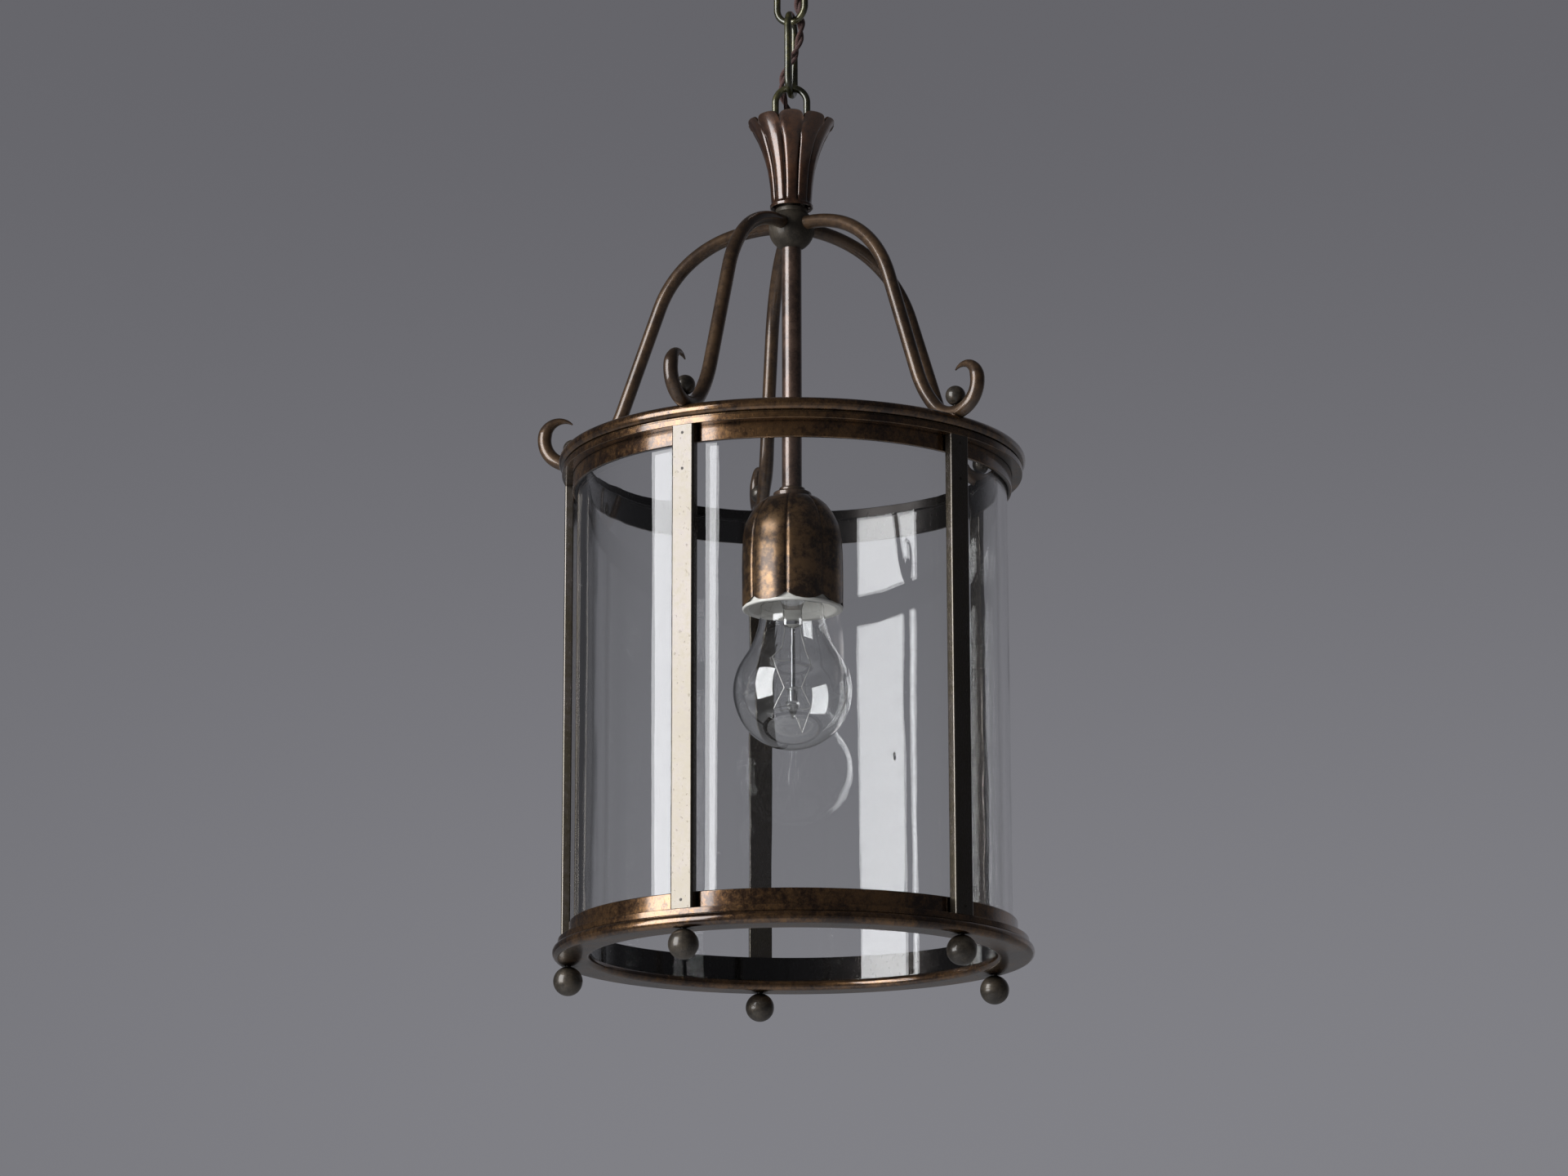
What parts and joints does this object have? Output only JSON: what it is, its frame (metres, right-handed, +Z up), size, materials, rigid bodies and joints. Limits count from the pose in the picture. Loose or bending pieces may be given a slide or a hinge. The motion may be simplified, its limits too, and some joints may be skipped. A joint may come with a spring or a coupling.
{
  "type": "ceiling lantern",
  "caption": "Hanging ceiling lantern: a clear glass cylinder in a bronze ring-and-upright frame, carried by scrolled arms, a fluted tulip crown, a chain and a ceiling rose.",
  "frame": {"origin": "centre of the ceiling rose's flat back, on the ceiling plane; the lantern hangs below it", "axes": "+Z up along the axis of the rose and the lantern, towards the ceiling; -Y towards the upright numbered 1"},
  "size_m": [0.2524, 0.2523, 0.5918],
  "materials": {
    "bronze_patina": "dark brown patinated brass, rubbed at the edges",
    "dark_bronze": "darker olive-brown patinated brass",
    "chain_brass": "greenish antique brass wire",
    "flex_cloth": "braided brown cloth cover",
    "cylinder_glass": "clear, slightly wavy old glass",
    "porcelain": "glazed white porcelain",
    "contact_brass": "plain sheet brass",
    "bulb_glass": "clear blown glass",
    "filament_wire": "dull drawn wire"
  },
  "bodies": {
    "ceiling": {"ceiling_rose": "bronze_patina", "ceiling_eye": "chain_brass", "flex_at_rose": "flex_cloth"},
    "link_1": {"chain_link_1": "chain_brass", "flex_along_link_1": "flex_cloth"},
    "link_2": {"chain_link_2": "chain_brass", "flex_along_link_2": "flex_cloth"},
    "link_3": {"chain_link_3": "chain_brass", "flex_along_link_3": "flex_cloth"},
    "lantern": {"stirrup": "dark_bronze", "tulip_crown": "bronze_patina", "hub": "dark_bronze", "stem_tube": "dark_bronze", "flex_in_stem": "flex_cloth", "arm_1": "bronze_patina", "arm_2": "bronze_patina", "arm_3": "bronze_patina", "arm_4": "bronze_patina", "arm_5": "bronze_patina", "arm_ball_1": "dark_bronze", "arm_ball_2": "dark_bronze", "arm_ball_3": "dark_bronze", "arm_ball_4": "dark_bronze", "arm_ball_5": "dark_bronze", "arm_ball_pins": "dark_bronze", "top_ring": "bronze_patina", "top_collar": "bronze_patina", "low_collar": "bronze_patina", "low_band": "bronze_patina", "base_ring": "bronze_patina", "upright_1": "bronze_patina", "upright_2": "bronze_patina", "upright_3": "bronze_patina", "upright_4": "bronze_patina", "upright_5": "bronze_patina", "upright_pins": "dark_bronze", "foot_ball_1": "dark_bronze", "foot_ball_2": "dark_bronze", "foot_ball_3": "dark_bronze", "foot_ball_4": "dark_bronze", "foot_ball_5": "dark_bronze", "foot_studs": "dark_bronze", "glass_cylinder": "cylinder_glass", "holder_collar": "dark_bronze", "husk": "bronze_patina", "inner_cup": "porcelain", "contact_block": "porcelain", "centre_contact": "contact_brass", "screw_shell": "contact_brass"},
    "bulb": {"bulb_glass": "bulb_glass", "bulb_cap": "contact_brass", "bulb_stem": "bulb_glass", "filament": "filament_wire", "filament_wires": "filament_wire"}
  },
  "joints": [
    {"name": "eye_swing", "type": "hinge", "parent": "ceiling", "child": "link_1", "pos_m": [0, 0, -0.044], "axis": [0.0349, 0.9994, 0], "range_deg": [-25, 25], "deforming": ["flex_along_link_1"]},
    {"name": "link_swing_upper", "type": "hinge", "parent": "link_1", "child": "link_2", "pos_m": [0, 0, -0.0838], "axis": [-0.9994, 0.0349, 0], "range_deg": [-25, 25], "deforming": ["flex_along_link_2"]},
    {"name": "link_swing_lower", "type": "hinge", "parent": "link_2", "child": "link_3", "pos_m": [0, 0, -0.1238], "axis": [-0.2588, 0.9659, 0], "range_deg": [-25, 25], "deforming": ["flex_along_link_3"]},
    {"name": "crown_swing", "type": "hinge", "parent": "link_3", "child": "lantern", "pos_m": [0, 0, -0.1638], "axis": [0.891, 0.454, 0], "range_deg": [-12, 12]},
    {"name": "bulb_unscrew", "type": "slide", "parent": "lantern", "child": "bulb", "axis": [0, 0, -1], "range_m": [0, 0.03]}
  ]
}
